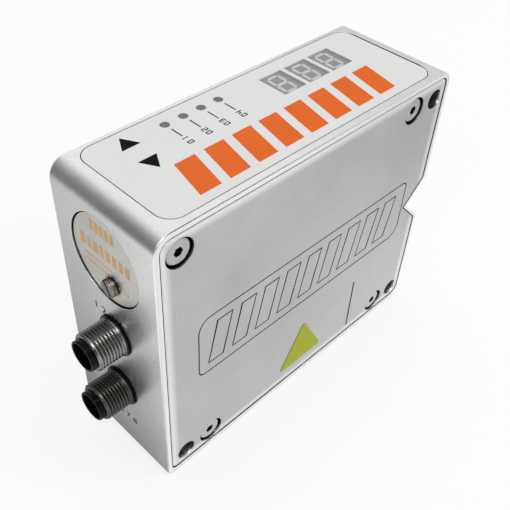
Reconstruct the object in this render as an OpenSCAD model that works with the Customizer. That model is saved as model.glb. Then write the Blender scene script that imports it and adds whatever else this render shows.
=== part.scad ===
// Lacquer detector: an optical sensor in a milled aluminium housing.
// The connectors stick out at -X, the notched optical nose is at +X,
// the screwed side cover faces -Y and the foil with the display is on top.
// The origin is the centre of the flat bottom face of the housing's lower block.
// Positions in the modules are measured from the connector face, the cover side
// and the bottom, and place() moves them into the part's own frame.

/* [Housing] */
// length of the housing, connector face to nose
body_l = 118.5; // [110:0.5:130]
// depth of the housing, cover side to back
body_d = 41.5; // [41:0.5:50]
// height of the housing
body_h = 98; // [93:1:104]
// radius of the upper corner at the connector face
top_r = 5.5; // [4:0.1:7]
// radius of the upper corner at the nose
nose_r = 4.5; // [3:0.5:6]
// radius of the lower corner at the connector face
heel_r = 2; // [1.5:0.5:4]
// radius of the lower corner at the nose
toe_r = 5; // [3:0.5:6]
// chamfer that breaks the outer rims
rim_c = 0.3; // [0.2:0.1:0.6]
// thickness of the wall behind the cavity
back_wall = 3.5; // [3:0.1:5]

/* [Notch] */
// depth of the notch
notch_d = 9; // [8:0.1:10]
// height of the notch's inner edge
notch_z = 48.5; // [47:0.1:50]

/* [Side cover] */
// width of the rim left round the cover
rim_w = 1.65; // [1.3:0.05:2.2]
// width of the rim left along the notch
notch_rim_w = 0.9; // [0.7:0.1:1.6]
// thickness of the cover
cover_t = 4; // [3.8:0.1:5]
// width of the gap between cover and rim
cover_gap = 0.3; // [0.2:0.05:0.4]
// how deep the cover's face lies behind the rim
cover_sink = 0.2; // [0.2:0.05:0.4]
// depth of the lines cut in the cover
line_depth = 0.3; // [0.2:0.05:0.6]
// width of the lines cut in the cover
line_w = 0.45; // [0.3:0.05:0.8]
// width of the gasket under the cover
gasket_w = 1.4; // [1:0.1:1.8]
// thickness of the gasket
gasket_t = 1; // [0.8:0.1:1.5]

/* [Fasteners] */
// distance of the first mounting hole from the connector face
hole_in = 7.6; // [7:0.1:9]
// distance of the other mounting holes from the nose
hole_nose = 6.7; // [6.5:0.1:8]
// distance of the lower holes and screws from the bottom
hole_low = 6.6; // [6.4:0.1:8]
// distance of the upper hole and screws from the top
hole_top = 8.1; // [7.9:0.1:10]
// distance from a mounting hole to the cover screw beside it
screw_step = 10.4; // [9.5:0.1:12]
// radius of the mounting holes in the housing
mount_r = 2.75; // [2.2:0.05:2.9]
// radius of the mounting holes in the cover
mount_cover_r = 3.25; // [3.1:0.05:3.5]
// thread radius of the cover screws
screw_r = 2; // [1.5:0.1:2.5]
// radius of the cover screws' heads
head_r = 4.1; // [3.5:0.1:4.4]
// height of the cover screws' heads
head_t = 2.4; // [1.8:0.1:2.6]

/* [Top foil] */
// thickness of the foil
foil_t = 0.5; // [0.4:0.05:0.8]
// corner radius of the foil
foil_r = 5; // [3:0.5:6]
// strip of housing left in front of the foil
foil_edge = 2.6; // [1.8:0.1:2.8]
// thickness of the ink fields
ink_t = 0.15; // [0.1:0.05:0.2]

/* [Display] */
// width of one digit window
digit_w = 9.2; // [9:0.1:9.4]
// height of one digit window
digit_h = 11; // [10.8:0.1:12]
// distance from one digit to the next
digit_pitch = 10.6; // [10.5:0.1:10.8]
// distance from one indicator light to the next
led_pitch = 6.5; // [5.5:0.1:7]
// radius of an indicator light
led_r = 1.45; // [1:0.05:1.8]

/* [Connectors] */
// outer radius of the connector thread
thread_r = 6; // [5.5:0.1:6.5]
// how far the thread stands out of the housing
thread_l = 9.7; // [8:0.1:12]
// outer radius of the black collar in the connector
collar_r = 4.85; // [4.6:0.05:5]
// how far the collar stands out past the thread
collar_l = 1.8; // [1:0.1:2.5]
// distance of the connectors' axes from the cover side
plug_y = 19.6; // [18:0.1:21]
// height of the upper connector
power_z = 50.6; // [48:0.1:52]
// height of the lower connector
data_z = 27.8; // [26:0.1:30]

/* [Service cover] */
// radius of the round plate
disc_r = 13.8; // [12.5:0.1:14]
// thickness of the round plate
disc_t = 1.2; // [1:0.1:1.6]
// distance of the round plate's centre from the top
disc_drop = 20; // [20:0.1:22]

/* [Hidden] */
$fn = 64;
// overlap that joins or cuts cleanly, depth of a cut past a face, gap round let-in parts
nudge = 0.5;
past = 1;
slit = 0.25;

mid_y = body_d / 2;
notch_x = body_l - notch_d;
seat_y = cover_sink + cover_t;
back_y = body_d - back_wall;
foil_z = body_h - foil_t;

gasket_in = 0.8;
gasket_out = gasket_in + gasket_w;
wall = rim_w + gasket_out + 0.4;
roof_z = body_h - rim_w - gasket_out - 0.9;

// through-holes for mounting and screws that hold the side cover, as [x, z]
mount_at = [
  [hole_in, hole_low],
  [body_l - hole_nose, hole_low],
  [body_l - hole_nose, body_h - hole_top]
];
cover_screw_at = [
  [hole_in + screw_step, hole_low],
  [body_l - hole_nose - screw_step, hole_low],
  [body_l - hole_nose - screw_step, body_h - hole_top],
  [hole_in + 0.4, body_h - hole_top]
];
screw_l = 10;
head_y = cover_sink + 0.6;
head_floor_y = head_y + head_t;
screw_end_y = head_floor_y + screw_l;
head_gap = 0.4;
head_edge = 0.4;
screw_clear_r = 0.2;
socket_r = 1.45;
socket_t = 1.4;

// frame line, bars inside it and the upright groove, all cut in the cover's face
frame_lo = [13.2, notch_z - 11];
frame_hi = [notch_x - 2.6, notch_z + 12.4];
frame_r = [2.5, 5, 2.5, 5];
bar_count = 9;
bar_lean = 3.4;
bar_margin = 3.6;
groove_at = [cover_screw_at[1][0] - 16.2, 5];
groove_size = [0.9, 22.2];
groove_t = 0.2;

// plain three-cornered sticker on the cover, its corners cut off a little
sticker_at = [body_l / 2 + 0.6, 7.6];
sticker_w = 19.6;
sticker_h = 17.2;
sticker_c = 0.5;
sticker_t = 0.15;

// rectangles of the cavity, as [x0, z0, x1, z1]; solid corners hold the holes and screws
corner_z = hole_low + mount_r + gasket_out + 1.6;
main_top_z = body_h - hole_top - screw_r - gasket_out - 1.4;
screw_clear = screw_r + gasket_out + 2;
cavity_main = [wall, corner_z, notch_x - 6.4, main_top_z];
cavity_top = [
  cover_screw_at[3][0] + screw_clear, main_top_z - 1,
  cover_screw_at[2][0] - screw_clear, roof_z
];
cavity_foot = [
  cover_screw_at[0][0] + screw_clear, wall,
  cover_screw_at[1][0] - screw_clear, corner_z + 1
];
cavity_nose_up = [notch_x - 7, notch_z + 15, body_l - wall - 2, main_top_z - 1.5];
cavity_nose_low = [notch_x - 7, corner_z, body_l - wall - 0.5, notch_z - 15];
cavity_list = [cavity_main, cavity_top, cavity_foot, cavity_nose_up, cavity_nose_low];
// the display bay behind the upper cover screws
bay_lo = [wall + 2, screw_end_y + 2.2, main_top_z - 1];
bay_hi = [body_l - hole_nose - mount_r - 4.5, back_y, roof_z];

foil_x0 = top_r + 1.3;
foil_x1 = body_l - nose_r - 1.9;
foil_y0 = foil_edge;
foil_y1 = body_d - foil_edge + 0.7;

digit_x = foil_x1 - 43.8;
digit_y = body_d - 6.9 - digit_h;
led_x = 32.5;
led_y = body_d - 7;
led_clear = 0.35;
led_rim = 0.5;
led_rim_t = 1;
led_rise = 0.3;
key_at = [[19.5, body_d - 7.6], [19.5, body_d - 17.4]];
key_hole_r = 4.4;
key_w = 6;
key_t = 3.6;
key_stem_r = 1.75;
block_lip = 0.5;
block_clear = 0.5;

// print on the foil: a row of bars, arrows on the keys, lines and numerals by the lights
arrow_w = 6.1;
arrow_h = 5.25;
orange_count = 8;
orange_lean = 3.2;
orange_x = key_at[0][0] - 0.1;
orange_lo = foil_y0 + 3;
orange_hi = key_at[1][1] - arrow_h * 2 / 3 - 1.4;
mark_l = 4.4;
mark_w = 0.44;
mark_at = led_r + 1.35;
numeral_w = 1.3;
numeral_h = 2;
numeral_gap = 0.5;
stroke = 0.36;

// a digit's seven segments are bars pointed at both ends, leaning with the digit
seg_w = 1.15;
seg_l = 4.1;
seg_gap = 0.1;
seg_in = 2.1;
seg_t = 0.6;
digit_lean = 0.05;

// display board under the foil, and the posts it is screwed to
board_t = 1.6;
board_z = roof_z - 5.5;
board_top = board_z + board_t;
board_lo = [12, bay_lo[1] + 1, board_z];
board_hi = [bay_hi[0] - 1.8, back_y - 0.5, board_top];
panel_post_r = 2.6;
panel_screw_r = 1.25;
panel_head_r = 2.2;
panel_head_t = 1.8;
panel_hole_end = roof_z - 0.4;
panel_screw_end = panel_hole_end - 0.7;
free_x = (led_x + 3 * led_pitch + led_r + digit_x) / 2;
board_post_at = [
  [led_x - 5.3, board_lo[1] + 3.5],
  [free_x, board_lo[1] + 3.5],
  [free_x, board_hi[1] - panel_post_r]
];

// main board upright at the back, and the posts it is screwed to
main_y = mid_y + 5;
main_lo = [wall + 12, corner_z + 2];
main_hi = [notch_x - 18.4, main_top_z - 3];
main_post_r = 3;
main_screw_r = 1.5;
main_head_r = 2.75;
main_head_t = 2.2;
main_screw_end = main_y + board_t + 5.9;
main_post_at = [
  [main_lo[0] + 4, main_lo[1] + 4],
  [main_hi[0] - 4, main_lo[1] + 4],
  [main_lo[0] + 8, main_hi[1] - 4],
  [main_hi[0] - 4, main_hi[1] - 4]
];

// what the main board carries, with places measured from its lower corner
header_x = [board_post_at[0][0] + 8, board_post_at[1][0] - 6];
header_w = 4;
header_drop = 5;
chip_at = main_lo + [32, 23];
chip_w = 14;
chip_t = 1.4;
can_at = main_lo + [16, 13];
can_pitch = 12;
can_r = 4;
can_h = 10;

// round plate on the connector face, let in a little
disc_z = body_h - disc_drop;
disc_face = 0.5;
disc_floor = disc_face + disc_t;
disc_gap = 0.3;
seal_r = disc_r - 1.4;
seal_w = 1.4;
seal_t = 0.8;
service_screw_r = 1.5;
service_screw_at = [mid_y - 2, disc_z - 7.6];
service_head_r = 2.7;
service_head_t = 2;
slot_w = 0.8;
slot_t = 1;
access_w = 12;
access_h = 10;
access_z = main_hi[1] - 6.4;
switch_in = 4;
switch_w = 7;
switch_h = 5.9;
slider_w = 2.2;
slider_h = 0.7;
slider_pitch = 1.3;

neck_r = thread_r + 0.3;
collar_hole_r = collar_r - 0.75;
tip_c = 0.5;
flange_w = 1.4;
flange_t = 2;
socket_floor = -3;
insert_end = wall + 5;
pin_tip = -thread_l - 0.2;
pin_end = wall + 8;
key_rib_w = 1.1;
key_rib_t = 0.7;
pin_r = 0.5;
pin_ring_r = 2.7;
seal_ring_w = 0.25;
seal_ring_t = 0.7;

// optics behind the two notch faces, with depths measured along their axes
window_r = 4.2;
window_t = 1.5;
window_sink = 0.3;
sight_r = 3.2;
barrel_r = 3;
lens_r = 2.5;
lens_at = 4;
flange_r = 5.2;
bench_r = 5.5;
bench_at = 9;
bench_l = 13;
tube_r = 4;
tube_end = bench_at + 12;
small_board_r = 4.4;
small_board_t = 1.2;
laser_open_r = 2;
receiver_open_r = 2.2;
diode_r = 2.8;
diode_t = 1.2;
diode_can_r = 1.7;
emit_at = [(notch_x + body_l) / 2, mid_y, notch_z + notch_d / 2];
recv_at = [(notch_x + body_l) / 2, mid_y, notch_z - notch_d / 2];

module place() {
  translate([-body_l / 2, -mid_y, 0]) children();
}

// a flat shape drawn as [x, z], given a thickness from y0 to y1
module along_y(y0, y1) {
  translate([0, y1, 0]) rotate([90, 0, 0]) linear_extrude(height = y1 - y0) children();
}

// a rod along y, at = [x, z]
module rod_y(at, r, y0, y1) {
  translate([at[0], y0, at[1]]) rotate([-90, 0, 0]) cylinder(h = y1 - y0, r = r);
}

// a rod along x, at = [y, z]
module rod_x(at, r, x0, x1) {
  translate([x0, at[0], at[1]]) rotate([0, 90, 0]) cylinder(h = x1 - x0, r = r);
}

// a rod along z, at = [x, y]
module rod_z(at, r, z0, z1) {
  translate([at[0], at[1], z0]) cylinder(h = z1 - z0, r = r);
}

module block(lo, hi) {
  translate(lo) cube(hi - lo);
}

// the housing's side view, g millimetres inside its outer line and n inside the notch
module side_view(g, n) {
  r = [for (q = [heel_r, toe_r, nose_r, top_r]) max(q - g, min(q, 2))];
  top = body_h - g;
  far = body_l - g;
  in_x = notch_x - n * sqrt(2);
  polygon([
    [g + r[0], g], [far - r[1], g], [far, g + r[1]],
    [far, notch_z - (far - in_x)], [in_x, notch_z], [far, notch_z + (far - in_x)],
    [far, top - r[2]], [far - r[2], top], [g + r[3], top], [g, top - r[3]], [g, g + r[0]]
  ]);
  translate([g + r[0], g + r[0]]) circle(r[0]);
  translate([far - r[1], g + r[1]]) circle(r[1]);
  translate([far - r[2], top - r[2]]) circle(r[2]);
  translate([g + r[3], top - r[3]]) circle(r[3]);
}

// the cavity's side view, grown by g
module cavity_view(g) {
  for (c = cavity_list)
    translate([c[0] - g, c[1] - g]) square([c[2] - c[0] + 2 * g, c[3] - c[1] + 2 * g]);
}

// the gasket's path round the cavity
module gasket_view() {
  difference() {
    cavity_view(gasket_out);
    cavity_view(gasket_in);
  }
}

// wedge that takes a chamfer off an edge running up z, material at +x and +y
module edge_wedge(len) {
  linear_extrude(height = len) polygon([[-1, -1], [rim_c + 1, -1], [-1, rim_c + 1]]);
}

// the chamfer round a corner of radius r, for the quarter at -x and +z
module corner_wedge(r) {
  difference() {
    translate([-r - 1, -1, 0]) cube([r + 1, rim_c + 1, r + 1]);
    translate([0, -1, 0]) rotate([-90, 0, 0]) cylinder(h = rim_c + 1, r1 = r - rim_c - 1, r2 = r);
  }
}

// all chamfers round one rim of the housing
module rim_chamfer() {
  up_z = notch_z + notch_d - rim_c - past;
  low_z = notch_z - notch_d + rim_c + past;
  translate([0, 0, heel_r]) edge_wedge(body_h - top_r - heel_r);
  translate([body_l, 0, up_z]) mirror([1, 0, 0]) edge_wedge(body_h - nose_r - up_z);
  translate([body_l, 0, toe_r]) mirror([1, 0, 0]) edge_wedge(low_z - toe_r);
  translate([top_r, 0, body_h]) rotate([0, 90, 0]) edge_wedge(body_l - nose_r - top_r);
  translate([heel_r, 0, 0]) mirror([0, 0, 1]) rotate([0, 90, 0]) edge_wedge(body_l - toe_r - heel_r);
  translate([top_r, 0, body_h - top_r]) corner_wedge(top_r);
  translate([body_l - nose_r, 0, body_h - nose_r]) mirror([1, 0, 0]) corner_wedge(nose_r);
  translate([heel_r, 0, heel_r]) mirror([0, 0, 1]) corner_wedge(heel_r);
  translate([body_l - toe_r, 0, toe_r]) mirror([1, 0, 0]) mirror([0, 0, 1]) corner_wedge(toe_r);
}

// a rectangle with rounded corners, radii in the order low left, low right, top right, top left
module round_box(lo, hi, r) {
  polygon([
    [lo[0] + r[0], lo[1]], [hi[0] - r[1], lo[1]], [hi[0], lo[1] + r[1]], [hi[0], hi[1] - r[2]],
    [hi[0] - r[2], hi[1]], [lo[0] + r[3], hi[1]], [lo[0], hi[1] - r[3]], [lo[0], lo[1] + r[0]]
  ]);
  translate([lo[0] + r[0], lo[1] + r[0]]) circle(r[0]);
  translate([hi[0] - r[1], lo[1] + r[1]]) circle(r[1]);
  translate([hi[0] - r[2], hi[1] - r[2]]) circle(r[2]);
  translate([lo[0] + r[3], hi[1] - r[3]]) circle(r[3]);
}

// local z runs from the middle of a notch face into the housing
module emitter_axis() {
  translate(emit_at) rotate([0, -45, 0]) children();
}

module receiver_axis() {
  translate(recv_at) rotate([0, -135, 0]) children();
}

// one slanted bar, width w at the foot
module slant_bar(x0, w, z0, z1, lean) {
  polygon([[x0, z0], [x0 + w, z0], [x0 + w + lean, z1], [x0 + lean, z1]]);
}

// the milled block: outside, cavity and posts, then every seat, hole and pocket
module housing() {
  color([0.78, 0.78, 0.77]) place() difference() {
    union() {
      difference() {
        along_y(0, body_d) side_view(0, 0);
        along_y(seat_y - 1, back_y) cavity_view(0);
        block(bay_lo, bay_hi);
      }
      for (p = main_post_at) rod_y(p, main_post_r, main_y + board_t, back_y + nudge);
      for (p = board_post_at) rod_z(p, panel_post_r, board_top, roof_z + nudge);
    }
    rim_chamfer();
    translate([0, body_d, 0]) mirror([0, 1, 0]) rim_chamfer();
    along_y(-past, seat_y) side_view(rim_w, notch_rim_w);
    along_y(seat_y - nudge, seat_y + gasket_t) gasket_view();
    foil_pocket();
    display_cutouts();
    for (p = cover_screw_at) rod_y(p, screw_r, seat_y - past, screw_end_y + nudge);
    for (p = mount_at) rod_y(p, mount_r, seat_y - past, body_d + past);
    for (p = main_post_at) rod_y(p, main_screw_r, main_y + board_t - past, main_screw_end + nudge);
    for (p = board_post_at) rod_z(p, panel_screw_r, board_top - past, panel_hole_end);
    for (z = [power_z, data_z]) rod_x([plug_y, z], neck_r, -past, wall + past);
    service_recess();
    emitter_axis() optic_bores();
    receiver_axis() optic_bores();
  }
}

module foil_pocket() {
  translate([0, 0, foil_z]) linear_extrude(height = 2)
    round_box([foil_x0 - slit, foil_y0 - slit], [foil_x1 + slit, foil_y1 + slit],
      [for (i = [0:3]) foil_r + slit]);
}

// cut-outs in the top wall for the display, the lights and the keys
module display_cutouts() {
  room = block_lip + block_clear;
  block([digit_x - room, digit_y - room, roof_z - past],
    [digit_x + 2 * digit_pitch + digit_w + room, digit_y + digit_h + room, body_h]);
  for (i = [0:3])
    rod_z([led_x + i * led_pitch, led_y], led_r + led_clear, roof_z - past, body_h);
  for (k = key_at) rod_z(k, key_hole_r, roof_z - past, body_h);
}

// round recess, seal groove, screw hole and access opening of the service cover
module service_recess() {
  rod_x([mid_y, disc_z], disc_r + disc_gap, -past, disc_floor);
  difference() {
    rod_x([mid_y, disc_z], seal_r, disc_floor - nudge, disc_floor + seal_t);
    rod_x([mid_y, disc_z], seal_r - seal_w, disc_floor - past, disc_floor + seal_t + past);
  }
  rod_x(service_screw_at, service_screw_r, disc_floor - past, wall + past);
  block([0, mid_y - access_w / 2, access_z], [wall + past, mid_y + access_w / 2, access_z + access_h]);
}

// window seat, sight bore and bench bore behind one notch face
module optic_bores() {
  rod_z([0, 0], window_r, -3 * past, window_t);
  rod_z([0, 0], sight_r, 0, bench_at + past);
  rod_z([0, 0], bench_r, bench_at, bench_at + bench_l);
}

// flat cover with counterbores, mounting holes and lines cut in its face
module side_cover() {
  color([0.66, 0.66, 0.65]) place() difference() {
    along_y(cover_sink, seat_y) side_view(rim_w + cover_gap, notch_rim_w + cover_gap);
    for (p = cover_screw_at) {
      rod_y(p, head_r + head_gap, -past, head_floor_y);
      rod_y(p, screw_r + screw_clear_r, 0, seat_y + past);
    }
    for (p = mount_at) rod_y(p, mount_cover_r, -past, seat_y + past);
    along_y(-past, cover_sink + line_depth) cover_lines();
    along_y(-past, cover_sink + groove_t) translate(groove_at) square(groove_size);
  }
}

// a frame line with different corner radii, and plain slanted bars inside it
module cover_lines() {
  inset = [line_w, line_w];
  foot = frame_lo[1] + bar_margin;
  head = frame_hi[1] - bar_margin;
  step = (frame_hi[0] - frame_lo[0] - 2 * bar_margin - bar_lean / 2) / bar_count;
  bar = step * 0.66;
  difference() {
    round_box(frame_lo, frame_hi, frame_r);
    round_box(frame_lo + inset, frame_hi - inset, [for (q = frame_r) q - line_w]);
  }
  for (i = [0:bar_count - 1]) {
    x = frame_lo[0] + bar_margin + i * step;
    difference() {
      slant_bar(x, bar, foot, head, bar_lean);
      slant_bar(x + line_w * 1.15, bar - line_w * 2.3, foot + line_w, head - line_w, bar_lean);
    }
  }
}

module cover_gasket() {
  color([0.12, 0.12, 0.12]) place() along_y(seat_y, seat_y + gasket_t) gasket_view();
}

// low-head screws with a hexagon socket
module cover_screws() {
  color([0.8, 0.8, 0.8]) place() for (p = cover_screw_at) difference() {
    union() {
      translate([p[0], head_y, p[1]]) rotate([-90, 0, 0])
        cylinder(h = head_edge, r1 = head_r - head_edge, r2 = head_r);
      rod_y(p, head_r, head_y + head_edge, head_floor_y);
      rod_y(p, screw_r, head_floor_y - nudge, screw_end_y);
    }
    translate([p[0], head_y - past, p[1]]) rotate([-90, 0, 0])
      cylinder(h = past + socket_t, r = socket_r, $fn = 6);
  }
}

// thin foil with openings for the digits and lights and shallow fields for the inks
module top_foil() {
  color([0.86, 0.87, 0.86]) place() difference() {
    translate([0, 0, foil_z]) linear_extrude(height = foil_t)
      round_box([foil_x0, foil_y0], [foil_x1, foil_y1], [for (i = [0:3]) foil_r]);
    for (i = [0:2])
      block([digit_x + i * digit_pitch, digit_y, foil_z - past],
        [digit_x + i * digit_pitch + digit_w, digit_y + digit_h, body_h + past]);
    for (i = [0:3])
      rod_z([led_x + i * led_pitch, led_y], led_r, foil_z - past, body_h + past);
    translate([0, 0, body_h - ink_t]) linear_extrude(height = past) orange_view();
    translate([0, 0, body_h - ink_t]) linear_extrude(height = past) black_view();
  }
}

// row of plain slanted bars in front of the display
module orange_view() {
  step = (foil_x1 - orange_x - 12.6) / orange_count;
  for (i = [0:orange_count - 1])
    slant_bar(orange_x + i * step, step * 0.7, orange_lo, orange_hi, orange_lean);
}

// strokes of the plain numerals, in their cell
mid_lo = (numeral_h - stroke) / 2;
mid_hi = (numeral_h + stroke) / 2;
right = numeral_w - stroke;
cell = [
  [0, 0, numeral_w, stroke], [0, 0, stroke, mid_hi], [right, 0, numeral_w, mid_hi],
  [0, mid_lo, numeral_w, mid_hi], [0, mid_lo, stroke, numeral_h], [right, mid_lo, numeral_w, numeral_h],
  [0, numeral_h - stroke, numeral_w, numeral_h]
];
numeral = [[0, 1, 2, 4, 5, 6], [2, 5], [0, 1, 3, 5, 6], [0, 2, 3, 5, 6], [2, 3, 4, 5]];

module numeral_view(n) {
  for (s = numeral[n])
    translate([cell[s][0], cell[s][1]]) square([cell[s][2] - cell[s][0], cell[s][3] - cell[s][1]]);
}

// arrow with its point at +y
module arrow_view() {
  polygon([[-arrow_w / 2, -arrow_h / 3], [arrow_w / 2, -arrow_h / 3], [0, arrow_h * 2 / 3]]);
}

// two key arrows, and a line with a plain numeral beside each light
module black_view() {
  translate(key_at[0]) arrow_view();
  translate(key_at[1]) mirror([0, 1, 0]) arrow_view();
  for (i = [0:3]) translate([led_x + i * led_pitch, led_y]) {
    translate([-mark_w / 2, -mark_at - mark_l]) square([mark_w, mark_l]);
    for (k = [0, 1])
      translate([numeral_h / 2, -mark_at - mark_l - (2 - k) * (numeral_w + numeral_gap) - 0.4])
        rotate(90) numeral_view(k * (i + 1));
  }
}

module foil_orange_print() {
  color([0.86, 0.39, 0.12]) place()
    translate([0, 0, body_h - ink_t]) linear_extrude(height = ink_t) orange_view();
}

module foil_black_print() {
  color([0.08, 0.08, 0.08]) place()
    translate([0, 0, body_h - ink_t]) linear_extrude(height = ink_t) black_view();
}

function lean(p) = [p[0] + digit_lean * p[1], p[1]];

module flat_segment(x, y) {
  h = seg_w / 2;
  polygon([for (q = [[0, 0], [h, -h], [seg_l - h, -h], [seg_l, 0], [seg_l - h, h], [h, h]])
    lean([x + q[0], y + q[1]])]);
}

module upright_segment(x, y) {
  h = seg_w / 2;
  polygon([for (q = [[0, 0], [h, h], [h, seg_l - h], [0, seg_l], [-h, seg_l - h], [-h, h]])
    lean([x + q[0], y + q[1]])]);
}

module digit_view() {
  row = seg_l + 2 * seg_gap;
  for (k = [0:2]) flat_segment(seg_gap, k * row);
  for (x = [0, seg_l + 2 * seg_gap], k = [0, 1]) upright_segment(x, k * row + seg_gap);
}

module segments_solid() {
  foot = digit_y + (digit_h - 2 * seg_l) / 2 - 2 * seg_gap;
  for (i = [0:2])
    translate([digit_x + i * digit_pitch + seg_in, foot, foil_z - seg_t])
      linear_extrude(height = seg_t) digit_view();
}

module display_blocks() {
  color([0.35, 0.36, 0.36]) place() difference() {
    for (i = [0:2])
      block([digit_x + i * digit_pitch - block_lip, digit_y - block_lip, board_top],
        [digit_x + i * digit_pitch + digit_w + block_lip, digit_y + digit_h + block_lip, foil_z]);
    segments_solid();
  }
}

module display_segments() {
  color([0.7, 0.71, 0.7]) place() segments_solid();
}

module indicator_leds() {
  color([0.45, 0.5, 0.46]) place() for (i = [0:3]) {
    rod_z([led_x + i * led_pitch, led_y], led_r, board_top, foil_z + led_rise);
    rod_z([led_x + i * led_pitch, led_y], led_r + led_rim, board_top, board_top + led_rim_t);
  }
}

// sealed push switches that the foil is pressed onto
module key_switches() {
  color([0.15, 0.15, 0.16]) place() for (k = key_at) {
    block([k[0] - key_w / 2, k[1] - key_w / 2, board_top],
      [k[0] + key_w / 2, k[1] + key_w / 2, board_top + key_t]);
    rod_z(k, key_stem_r, board_top + key_t - nudge, foil_z);
  }
}

module display_board() {
  color([0.1, 0.35, 0.2]) place() difference() {
    block(board_lo, board_hi);
    for (p = board_post_at) rod_z(p, panel_screw_r + 0.15, board_z - past, board_top + past);
  }
}

module display_board_screws() {
  color([0.75, 0.75, 0.75]) place() for (p = board_post_at) {
    rod_z(p, panel_head_r, board_z - panel_head_t, board_z);
    rod_z(p, panel_screw_r, board_z - nudge, panel_screw_end);
  }
}

module link_header() {
  color([0.1, 0.1, 0.1]) place()
    block([header_x[0], main_y - header_w, main_hi[1] - header_drop], [header_x[1], main_y, board_z]);
}

module main_board() {
  color([0.1, 0.35, 0.2]) place() difference() {
    block([main_lo[0], main_y, main_lo[1]], [main_hi[0], main_y + board_t, main_hi[1]]);
    for (p = main_post_at) rod_y(p, main_screw_r + 0.1, main_y - past, main_y + board_t + past);
  }
}

module main_board_screws() {
  color([0.75, 0.75, 0.75]) place() for (p = main_post_at) {
    rod_y(p, main_head_r, main_y - main_head_t, main_y);
    rod_y(p, main_screw_r, main_y - nudge, main_screw_end);
  }
}

module processor() {
  color([0.1, 0.1, 0.1]) place()
    block([chip_at[0], main_y - chip_t, chip_at[1]], [chip_at[0] + chip_w, main_y, chip_at[1] + chip_w]);
}

module capacitors() {
  color([0.2, 0.22, 0.3]) place()
    for (i = [0, 1]) rod_y(can_at + [0, i * can_pitch], can_r, main_y - can_h, main_y);
}

module service_cover() {
  color([0.7, 0.71, 0.68]) place() difference() {
    rod_x([mid_y, disc_z], disc_r, disc_face, disc_floor);
    rod_x(service_screw_at, service_screw_r + 0.2, 0, disc_floor + past);
  }
}

module service_seal() {
  color([0.1, 0.1, 0.1]) place() difference() {
    rod_x([mid_y, disc_z], seal_r, disc_floor, disc_floor + seal_t);
    rod_x([mid_y, disc_z], seal_r - seal_w, disc_floor - past, disc_floor + seal_t + past);
  }
}

// slotted screw that stands proud of the round plate
module service_screw() {
  color([0.6, 0.6, 0.6]) place() difference() {
    union() {
      rod_x(service_screw_at, service_head_r, disc_face - service_head_t, disc_face);
      rod_x(service_screw_at, service_screw_r, disc_face - nudge, wall);
    }
    translate([disc_face - service_head_t, service_screw_at[0], service_screw_at[1]]) rotate([60, 0, 0])
      block([-past, -service_head_r - past, -slot_w / 2], [slot_t, service_head_r + past, slot_w / 2]);
  }
}

// small slide switches that face the access opening
module service_switch() {
  x = wall + switch_in;
  y = main_y - (switch_w + slider_w) / 2;
  z = access_z + 0.4;
  color([0.1, 0.2, 0.45]) place() difference() {
    block([x, main_y - switch_w, z], [main_lo[0] + 3, main_y, z + switch_h]);
    for (i = [0:3]) translate([0, 0, z + slider_h + i * slider_pitch])
      block([x - past, y, 0], [x + 0.8, y + slider_w, slider_h]);
  }
}

// threaded connector shell with an inner flange, at height z
module shell(z) {
  difference() {
    union() {
      translate([-thread_l, plug_y, z]) rotate([0, 90, 0])
        cylinder(h = tip_c, r1 = thread_r - tip_c, r2 = thread_r);
      rod_x([plug_y, z], thread_r, -thread_l + tip_c, 0);
      rod_x([plug_y, z], neck_r, -seal_ring_t, wall);
      rod_x([plug_y, z], neck_r + flange_w, wall, wall + flange_t);
    }
    rod_x([plug_y, z], collar_r, -thread_l - past, wall + flange_t + past);
  }
}

// black insert with the plug socket and the rib that keys the plug
module insert(z) {
  mouth = -thread_l - collar_l;
  difference() {
    rod_x([plug_y, z], collar_r, mouth, insert_end);
    difference() {
      rod_x([plug_y, z], collar_hole_r, mouth - past, socket_floor);
      translate([0, plug_y, z]) rotate([-30, 0, 0])
        block([mouth + nudge, -key_rib_w / 2, collar_hole_r - key_rib_t],
          [socket_floor, key_rib_w / 2, collar_r]);
    }
    for (a = [45:90:315]) rod_x(pin_at(z, a), pin_r, socket_floor - past, insert_end + past);
  }
}

function pin_at(z, a) = [plug_y + pin_ring_r * cos(a), z + pin_ring_r * sin(a)];

module pins(z) {
  for (a = [45:90:315]) rod_x(pin_at(z, a), pin_r, pin_tip, pin_end);
}

module power_shell() {
  color([0.72, 0.7, 0.66]) place() shell(power_z);
}

module power_insert() {
  color([0.06, 0.06, 0.06]) place() insert(power_z);
}

module power_pins() {
  color([0.85, 0.7, 0.35]) place() pins(power_z);
}

module data_shell() {
  color([0.72, 0.7, 0.66]) place() shell(data_z);
}

module data_insert() {
  color([0.06, 0.06, 0.06]) place() insert(data_z);
}

module data_pins() {
  color([0.85, 0.7, 0.35]) place() pins(data_z);
}

module connector_seals() {
  color([0.08, 0.08, 0.08]) place() for (z = [power_z, data_z]) difference() {
    rod_x([plug_y, z], neck_r + seal_ring_w, -seal_ring_t, 0);
    rod_x([plug_y, z], neck_r, -seal_ring_t - past, past);
  }
}

module window_glass() {
  rod_z([0, 0], window_r, window_sink, window_t);
}

module emitter_window() {
  color([0.3, 0.1, 0.1]) place() emitter_axis() window_glass();
}

module receiver_window() {
  color([0.3, 0.1, 0.1]) place() receiver_axis() window_glass();
}

// turned tube, its flange seated at the bottom of the bench bore
module tube(open_r) {
  difference() {
    union() {
      rod_z([0, 0], barrel_r, lens_at, bench_at + past);
      rod_z([0, 0], flange_r, bench_at, bench_at + 2);
      rod_z([0, 0], tube_r, bench_at + past, tube_end);
    }
    rod_z([0, 0], open_r, lens_at - past, tube_end + past);
    rod_z([0, 0], lens_r, lens_at - past, lens_at + 1.5);
  }
}

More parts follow.
